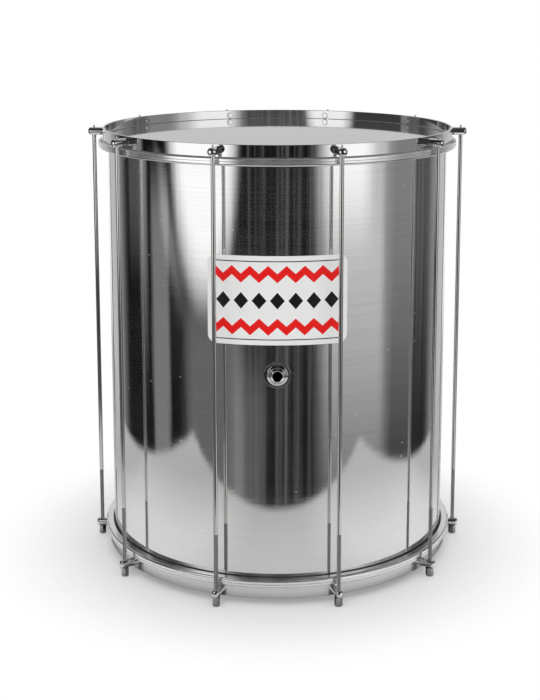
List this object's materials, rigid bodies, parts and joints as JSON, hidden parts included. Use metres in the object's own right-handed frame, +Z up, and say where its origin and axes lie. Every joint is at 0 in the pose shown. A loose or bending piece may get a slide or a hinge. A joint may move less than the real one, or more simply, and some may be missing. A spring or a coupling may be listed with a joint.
{
  "type": "surdo",
  "caption": "Deep cylindrical bass drum with a polished metal shell, milky heads, flat-band hoops, full-length tension rods in domed barrel lugs and a round vent.",
  "frame": {"origin": "on the axis of the drum, on the floor that the tension nuts stand on", "axes": "+Z up along the axis of the drum, -Y to the front with the vent, +X to the right seen from the front"},
  "size_m": [0.564, 0.5372, 0.6397],
  "materials": {
    "shell_metal": "polished, with faint brush marks around it",
    "top_hoop_chrome": "polished chrome",
    "bottom_hoop_metal": "satin chrome",
    "flesh_hoop_metal": "satin",
    "head_film": "glossy milky film",
    "lug_chrome": "mirror chrome",
    "rod_steel": "bright plated steel, threaded at the lower end",
    "nut_steel": "dull nickel plate",
    "vent_chrome": "mirror chrome",
    "badge_film": "glossy printed film, white with red bands"
  },
  "bodies": {
    "drum": {"shell": "shell_metal", "top_head": "head_film", "bottom_head": "head_film", "bottom_flesh_hoop": "flesh_hoop_metal", "bottom_counterhoop": "bottom_hoop_metal", "bottom_lug_01": "lug_chrome", "bottom_lug_02": "lug_chrome", "bottom_lug_03": "lug_chrome", "bottom_lug_04": "lug_chrome", "bottom_lug_05": "lug_chrome", "bottom_lug_06": "lug_chrome", "bottom_lug_07": "lug_chrome", "bottom_lug_08": "lug_chrome", "bottom_lug_09": "lug_chrome", "bottom_lug_10": "lug_chrome", "vent_rosette": "vent_chrome", "vent_button": "vent_chrome", "vent_washer": "nut_steel", "vent_lock_nut": "nut_steel"},
    "upper_hoop_set": {"top_flesh_hoop": "flesh_hoop_metal", "top_counterhoop": "top_hoop_chrome", "top_lug_01": "lug_chrome", "top_lug_02": "lug_chrome", "top_lug_03": "lug_chrome", "top_lug_04": "lug_chrome", "top_lug_05": "lug_chrome", "top_lug_06": "lug_chrome", "top_lug_07": "lug_chrome", "top_lug_08": "lug_chrome", "top_lug_09": "lug_chrome", "top_lug_10": "lug_chrome", "tension_rod_01": "rod_steel", "tension_rod_02": "rod_steel", "tension_rod_03": "rod_steel", "tension_rod_04": "rod_steel", "tension_rod_05": "rod_steel", "tension_rod_06": "rod_steel", "tension_rod_07": "rod_steel", "tension_rod_08": "rod_steel", "tension_rod_09": "rod_steel", "tension_rod_10": "rod_steel"},
    "nut_01": {"tension_nut_01": "nut_steel"},
    "nut_02": {"tension_nut_02": "nut_steel"},
    "nut_03": {"tension_nut_03": "nut_steel"},
    "nut_04": {"tension_nut_04": "nut_steel"},
    "nut_05": {"tension_nut_05": "nut_steel"},
    "nut_06": {"tension_nut_06": "nut_steel"},
    "nut_07": {"tension_nut_07": "nut_steel"},
    "nut_08": {"tension_nut_08": "nut_steel"},
    "nut_09": {"tension_nut_09": "nut_steel"},
    "nut_10": {"tension_nut_10": "nut_steel"}
  },
  "joints": [
    {"name": "tuning_draw", "type": "slide", "parent": "drum", "child": "upper_hoop_set", "axis": [0, 0, 1], "range_m": [-0.004, 0.003]},
    {"name": "nut_spin_01", "type": "hinge", "parent": "drum", "child": "nut_01", "pos_m": [0.08436, -0.25964, 0.0064], "axis": [0, 0, 1], "range_deg": [-1081, 1441]},
    {"name": "nut_spin_02", "type": "hinge", "parent": "drum", "child": "nut_02", "pos_m": [0.22086, -0.16046, 0.0064], "axis": [0, 0, 1], "range_deg": [-1081, 1441]},
    {"name": "nut_spin_03", "type": "hinge", "parent": "drum", "child": "nut_03", "pos_m": [0.273, 0, 0.0064], "axis": [0, 0, 1], "range_deg": [-1081, 1441]},
    {"name": "nut_spin_04", "type": "hinge", "parent": "drum", "child": "nut_04", "pos_m": [0.22086, 0.16046, 0.0064], "axis": [0, 0, 1], "range_deg": [-1081, 1441]},
    {"name": "nut_spin_05", "type": "hinge", "parent": "drum", "child": "nut_05", "pos_m": [0.08436, 0.25964, 0.0064], "axis": [0, 0, 1], "range_deg": [-1081, 1441]},
    {"name": "nut_spin_06", "type": "hinge", "parent": "drum", "child": "nut_06", "pos_m": [-0.08436, 0.25964, 0.0064], "axis": [0, 0, 1], "range_deg": [-1081, 1441]},
    {"name": "nut_spin_07", "type": "hinge", "parent": "drum", "child": "nut_07", "pos_m": [-0.22086, 0.16046, 0.0064], "axis": [0, 0, 1], "range_deg": [-1081, 1441]},
    {"name": "nut_spin_08", "type": "hinge", "parent": "drum", "child": "nut_08", "pos_m": [-0.273, 0, 0.0064], "axis": [0, 0, 1], "range_deg": [-1081, 1441]},
    {"name": "nut_spin_09", "type": "hinge", "parent": "drum", "child": "nut_09", "pos_m": [-0.22086, -0.16046, 0.0064], "axis": [0, 0, 1], "range_deg": [-1081, 1441]},
    {"name": "nut_spin_10", "type": "hinge", "parent": "drum", "child": "nut_10", "pos_m": [-0.08436, -0.25964, 0.0064], "axis": [0, 0, 1], "range_deg": [-1081, 1441]}
  ],
  "couplings": [
    {"joint": "nut_spin_01", "follows": "tuning_draw", "rad_per_m": -6283.2},
    {"joint": "nut_spin_02", "follows": "tuning_draw", "rad_per_m": -6283.2},
    {"joint": "nut_spin_03", "follows": "tuning_draw", "rad_per_m": -6283.2},
    {"joint": "nut_spin_04", "follows": "tuning_draw", "rad_per_m": -6283.2},
    {"joint": "nut_spin_05", "follows": "tuning_draw", "rad_per_m": -6283.2},
    {"joint": "nut_spin_06", "follows": "tuning_draw", "rad_per_m": -6283.2},
    {"joint": "nut_spin_07", "follows": "tuning_draw", "rad_per_m": -6283.2},
    {"joint": "nut_spin_08", "follows": "tuning_draw", "rad_per_m": -6283.2},
    {"joint": "nut_spin_09", "follows": "tuning_draw", "rad_per_m": -6283.2},
    {"joint": "nut_spin_10", "follows": "tuning_draw", "rad_per_m": -6283.2}
  ]
}
